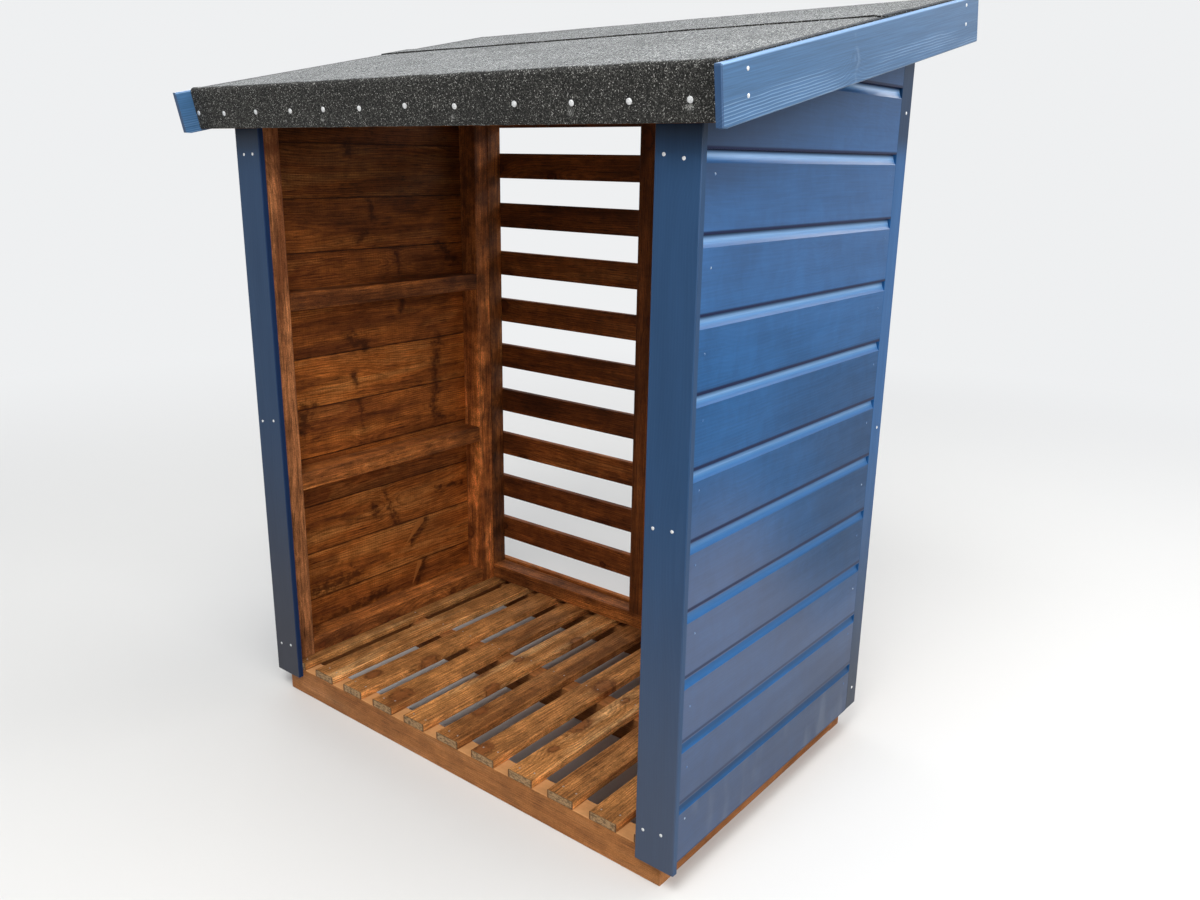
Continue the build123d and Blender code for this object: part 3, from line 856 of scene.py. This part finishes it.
def finish_piece(mesh, name, material, slot, *replaced):
    """Turns the built mesh into a smooth-shaded piece that rides on the store."""
    bmesh.ops.recalc_face_normals(mesh, faces=mesh.faces[:])
    for face in mesh.faces:
        face.smooth = True
    data = bpy.data.meshes.new(name)
    mesh.to_mesh(data)
    mesh.free()
    data.materials.append(material)
    obj = put(name, data)
    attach(obj, "root")
    if replaced:
        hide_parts(*replaced)


# Felt sheets
COLUMNS = 160             # strips across the roof
ROW_STEP = 0.0075
TURN_STEP = 9             # degrees of each facet in a bend
WAVE = 0.0005             # height of the waviness
LAP_REACH = 0.03          # how far from the lap's edge the upper sheet creeps and lifts
HOOK_X, HOOK_W, HOOK = 0.576, 0.015, 0.024     # the lap's edge swings forward at its right end
DIMPLE, DIMPLE_R = 0.0008, 0.012               # the felt drawn in under each clout


def bent(points, radius, step):
    """Line through (along, up) points with round corners, as (point, direction) pairs."""
    points = [Vector(p) for p in points]
    line = []
    at = points[0]
    for index in range(1, len(points)):
        into = (points[index] - at).normalized()
        last = index == len(points) - 1
        if not last:
            out = (points[index + 1] - points[index]).normalized()
            turn = into.angle(out)
            stop = points[index] - into * radius * math.tan(turn / 2)
        else:
            stop = points[index]
        pieces = max(1, round((stop - at).length / step))
        line += [(at.lerp(stop, i / pieces), into) for i in range(pieces)]
        if last:
            line.append((stop, into))
            break
        across = (out - into * into.dot(out)).normalized()
        middle = stop + across * radius
        steps = max(2, round(math.degrees(turn) / TURN_STEP))
        for i in range(steps):
            part = turn * i / steps
            line.append((middle + radius * (into * math.sin(part) - across * math.cos(part)),
                         into * math.cos(part) + across * math.sin(part)))
        at = points[index] + out * radius * math.tan(turn / 2)
    return line


def ripple(*place):
    return noise.noise(Vector(place))


def felt_slack(x, place, seed, nails, lap, low):
    """How far the felt stands off its path at a point, and how far it creeps along it."""
    rear = place.x > ROOF_LEN - 0.08
    slack = WAVE * ripple(4.0 * x, 5.0 * place.x, seed + 9.0 * place.y)
    slack += WAVE * ripple(11.0 * x, 9.0 * place.x, seed + 30.0 * place.y)
    if rear:
        slack = -abs(slack)
    elif low:
        slack = 1.5 * abs(slack)
    creep = 0.0
    if lap is not None and abs(place.x - lap) < LAP_REACH:
        near = 1.0 - abs(place.x - lap) / LAP_REACH
        creep = near * (0.0016 * ripple(7.0 * x, seed, 0.0) +
                        0.0008 * ripple(31.0 * x, seed, 4.0))
        hook = min(1.0, max(0.0, (x - HOOK_X) / HOOK_W))
        creep -= near * HOOK * hook * hook
        slack += near * near * (0.0007 + 0.0009 * ripple(9.0 * x, seed, 7.0))
    if low:
        hang = min(1.0, -place.y / FASCIA_H)
        creep = -hang * hang * 0.0007 * (1.0 + ripple(38.0 * x, seed, 2.0))
    if nails and -0.014 < place.y and place.x < 0.03:
        near = 1.0 - abs(place.x - 0.006) / 0.026
        slack += 0.0009 * near * ripple(16.0 * x, seed, 5.0)
        slack += 0.0007 * near * ripple(47.0 * x, seed, 6.0)
    for nail_x, nail_up in nails:
        away = math.hypot(x - nail_x, place.y - nail_up)
        if low and away < 0.04:
            slack -= DIMPLE * math.exp(-(away / DIMPLE_R) ** 2)
    return slack, creep


def felt_piece(name, node, points, seed, nails=(), lap=None):
    """Sheet of felt laid over the roof: slack between its nails, its cut edges not quite true."""
    rows = bent(points, FOLD_R, ROW_STEP)
    columns = [BARGE_X * (2 * i / COLUMNS - 1) for i in range(COLUMNS + 1)]
    mesh = bmesh.new()
    top, under = [], []
    for place, direction in rows:
        outward = Vector((-direction.y, direction.x))
        low = place.y < -0.006
        top.append([])
        under.append([])
        for x in columns:
            pinned = min(1.0, (BARGE_X - abs(x)) / 0.03)
            slack, creep = felt_slack(x, place, seed, nails, lap, low)
            point = place + (Vector((0.0, -creep)) if low else direction * creep)
            outer = point + outward * (FELT_T / 2 + slack * pinned)
            inner = point - outward * (FELT_T / 2)
            top[-1].append(mesh.verts.new(on_roof(x, outer.x, outer.y)))
            under[-1].append(mesh.verts.new(on_roof(x, inner.x, inner.y)))
    for r in range(len(rows) - 1):
        for c in range(COLUMNS):
            mesh.faces.new((top[r][c], top[r][c + 1], top[r + 1][c + 1], top[r + 1][c]))
            mesh.faces.new((under[r][c], under[r + 1][c], under[r + 1][c + 1], under[r][c + 1]))
    rim = ([(top[0][c], under[0][c]) for c in range(COLUMNS + 1)] +
           [(top[r][-1], under[r][-1]) for r in range(1, len(rows))] +
           [(top[-1][c], under[-1][c]) for c in range(COLUMNS - 1, -1, -1)] +
           [(top[r][0], under[r][0]) for r in range(len(rows) - 2, 0, -1)])
    for (above, below), (next_above, next_below) in zip(rim, rim[1:] + rim[:1]):
        mesh.faces.new((next_above, above, below, next_below))
        for edge in ((above, next_above), (below, next_below)):
            mesh.edges.get(edge).smooth = False
    finish_piece(mesh, name, felt, "mineral_felt", node)


HALF = FELT_T / 2
LAP_END = LAP_AT + LAP_LEN
felt_piece("felt_lower", "lower_felt_sheet",
           [(HALF, -FASCIA_H), (HALF, FOLD_LIFT), (0.03, -HALF), (LAP_END, -HALF)],
           3.0, CLOUTS)
felt_piece("felt_upper", "upper_felt_sheet",
           [(LAP_AT, HALF), (LAP_END + 0.004, HALF), (LAP_END + 0.018, -HALF),
            (ROOF_LEN - HALF, -HALF), (ROOF_LEN - HALF, -FASCIA_H)], 17.0, lap=LAP_AT)


# Nail heads
HEAD_SIDES = 20


def nail_head(mesh, place, facing, radius, crown, sunk=0.0006, lean=4.0):
    """Domed head standing on a surface, leaning a little as hand-driven nails do."""
    facing = Vector(facing).normalized()
    side = facing.orthogonal().normalized()
    tilt = Matrix.Rotation(math.radians(rng.uniform(0, lean)), 3, side)
    spin = Matrix.Rotation(rng.uniform(0, 2 * math.pi), 3, facing)
    facing = spin @ (tilt @ facing)
    side = facing.orthogonal().normalized()
    other = facing.cross(side)
    place = Vector(place)
    angles = [2 * math.pi * i / HEAD_SIDES for i in range(HEAD_SIDES)]
    rings = [[mesh.verts.new(place + facing * height + radius * share * (
        side * math.cos(angle) + other * math.sin(angle))) for angle in angles]
        for share, height in ((0.97, -sunk), (1.0, 0.3 * crown), (0.93, 0.52 * crown),
                              (0.72, 0.78 * crown), (0.4, 0.95 * crown))]
    middle = mesh.verts.new(place + facing * crown)
    for i in range(HEAD_SIDES):
        after = (i + 1) % HEAD_SIDES
        for lower, upper in zip(rings, rings[1:]):
            mesh.faces.new((lower[i], lower[after], upper[after], upper[i]))
        mesh.faces.new((rings[-1][i], rings[-1][after], middle))
    mesh.faces.new(rings[0][::-1])


def heads(name, material, slot, size, spots, *replaced):
    """A piece of nail heads; spots gives the place of each and the way that it faces."""
    mesh = bmesh.new()
    for place, facing in spots:
        nail_head(mesh, place, facing, *size)
    finish_piece(mesh, name, material, slot, *replaced)


def corner_spots():
    for x, z in TRIM_NAILS:
        yield (x, FACE_Y, z), (0, -1, 0)
    for side in (-1, 1):
        for back, z in STRIP_NAILS:
            yield (side * WALL_X, BACK_Y + back, z), (side, 0, 0)


def pin_spots():
    """Pins through the shiplap into the studs, painted over."""
    for side in (-1, 1):
        for course in range(10):
            z = COURSE_1 - COVER / 2 + course * COVER + 0.012
            for y in (FRAME_Y + 0.019, BACK_Y - 0.021):
                if z < FOLD.z - 0.1 + (y - FOLD.y) * math.tan(SLOPE):
                    yield (side * WALL_X, y + rng.uniform(-0.004, 0.004),
                           z + rng.uniform(-0.012, 0.012)), (side, 0, 0)


def slat_spots():
    """Lost heads in the floor slats over the bearers."""
    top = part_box("floor_slats")[1].z
    for number in range(11):
        x = (number - 5) * SLAT_PITCH
        for name in ("front_bearer", "middle_bearer", "back_bearer"):
            low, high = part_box(name)
            y = (low.y + high.y) / 2
            for offset in (-0.014, 0.016):
                yield (x + offset + rng.uniform(-0.004, 0.004), y + rng.uniform(-0.006, 0.006),
                       top), (0, 0, 1)


heads("clout_heads", zinc, "nail_heads", CLOUT_HEAD,
      ((on_roof(x, 0.0, up), -UP_SLOPE) for x, up in CLOUTS), "felt_clout_nails")
heads("corner_heads", zinc, "nail_heads", NAIL_HEAD, corner_spots(), "corner_nails")
heads("bargeboard_heads", zinc, "nail_heads", NAIL_HEAD,
      ((on_roof(side * (BARGE_X + BARGE_T), along, up), (side, 0, 0))
       for side in (-1, 1) for along, up in BARGE_NAILS), "bargeboard_nails")
heads("painted_pins", pin_paint, "blue_boards", PIN_HEAD, pin_spots())
heads("slat_nails", dull_zinc, "nail_heads", LOST_HEAD, slat_spots())


# Camera, solved from the photograph: its focal length is in pixels of the photograph's width
PHOTO_WIDTH = 1200.0
FOCAL_LENGTH = 1004.8
CAMERA_AT = (1.3031, FACE_Y - 1.1588, 1.1638)
RIGHT = Vector((0.77956322, 0.62615184, 0.01466504))
DOWN = Vector((0.18493201, -0.20774482, -0.96054268))
AHEAD = Vector((-0.59839898, 0.75151578, -0.27774574))
camera = put("camera", bpy.data.cameras.new("camera"))
scene.camera = camera
camera.data.sensor_width = 36.0
camera.data.lens = camera.data.sensor_width * FOCAL_LENGTH / PHOTO_WIDTH
camera.matrix_world = Matrix.Translation(CAMERA_AT) @ Matrix(
    (RIGHT, -DOWN, -AHEAD)).transposed().to_4x4()
camera.data.clip_start = 0.05
camera.data.clip_end = 100.0
scene.view_settings.view_transform = "Standard"

# Light and floor
BACKDROP = (0.86, 0.87, 0.88)
SKY_TINT = (0.93, 0.965, 1.0)
SKY_LOW, SKY_HIGH = 0.16, 0.5     # soft light from the horizon and from overhead
FLOOR_PALE = (0.74, 0.735, 0.725)
FLOOR_BOUNCE = (0.36, 0.34, 0.31)  # what the floor throws back onto the object
FAR = 30                           # half the width of the floor
FADE = (1.3, 4.5)                  # distances between which the floor turns into the backdrop

world = bpy.data.worlds.new("studio")
scene.world = world
sky = Shader("studio", world)
height = sky.split(sky.add("TexCoord").outputs["Generated"])[2]
soft_light = sky.fill(sky.add("Background"), SKY_TINT,
                      sky.span(height, 0.0, 1.0, SKY_LOW, SKY_HIGH, smooth=False))
backdrop = sky.fill(sky.add("Background"), BACKDROP)
blend = sky.fill(sky.add("MixShader"), sky.seen(), soft_light.outputs[0],
                 backdrop.outputs[0])
sky.link(blend.outputs[0], sky.out.inputs["Surface"])


def softbox(name, place, target, size, power, colour=(1.0, 1.0, 1.0), height=None):
    lamp = bpy.data.lights.new(name, "AREA")
    lamp.shape = "RECTANGLE"
    lamp.size = size
    lamp.size_y = height or size
    lamp.energy = power
    lamp.color = colour
    obj = put(name, lamp)
    obj.location = place
    obj.rotation_mode = "QUATERNION"
    obj.rotation_quaternion = (Vector(target) - Vector(place)).to_track_quat("-Z", "Y")


softbox("side", (3.7, -1.5, 2.0), (0.0, 0.0, 0.7), 2.4, 72.0, (1.0, 0.985, 0.96))
softbox("far side", (4.2, 0.8, 4.0), (0.0, 0.0, 0.7), 3.0, 30.0)
softbox("rim", (1.8, 3.9, 2.9), (0.5, 0.0, 0.8), 2.6, 60.0, height=1.1)
softbox("front", (1.0, -2.6, 4.4), (0.0, 0.0, 0.4), 2.0, 140.0, (1.0, 0.99, 0.97))
softbox("corner", (3.0, -2.9, 1.8), (0.0, 0.0, 0.7), 2.2, 22.0)
softbox("top", (0.8, 0.8, 4.8), (0.0, 0.0, 0.8), 3.0, 50.0)
softbox("left", (-3.9, 1.4, 2.3), (0.0, 0.3, 0.7), 2.6, 34.0)

floor_mesh = bpy.data.meshes.new("studio_floor")
floor_mesh.from_pydata([(-FAR, -FAR, 0), (FAR, -FAR, 0), (FAR, FAR, 0), (-FAR, FAR, 0)], [],
                       [(0, 1, 2, 3)])
floor = put("studio_floor", floor_mesh)
look = Shader("studio_floor")
seen = look.seen()
look.finish(look.mix(seen, FLOOR_BOUNCE, FLOOR_PALE), 0.9)
away = hypot(*look.place()[:2])
glow = look.fill(look.add("Emission"), BACKDROP)
fade = look.fill(look.add("MixShader"), seen * look.span(away, *FADE),
                 look.bsdf.outputs[0], glow.outputs[0])
look.link(fade.outputs[0], look.out.inputs["Surface"])
floor_mesh.materials.append(look.material)
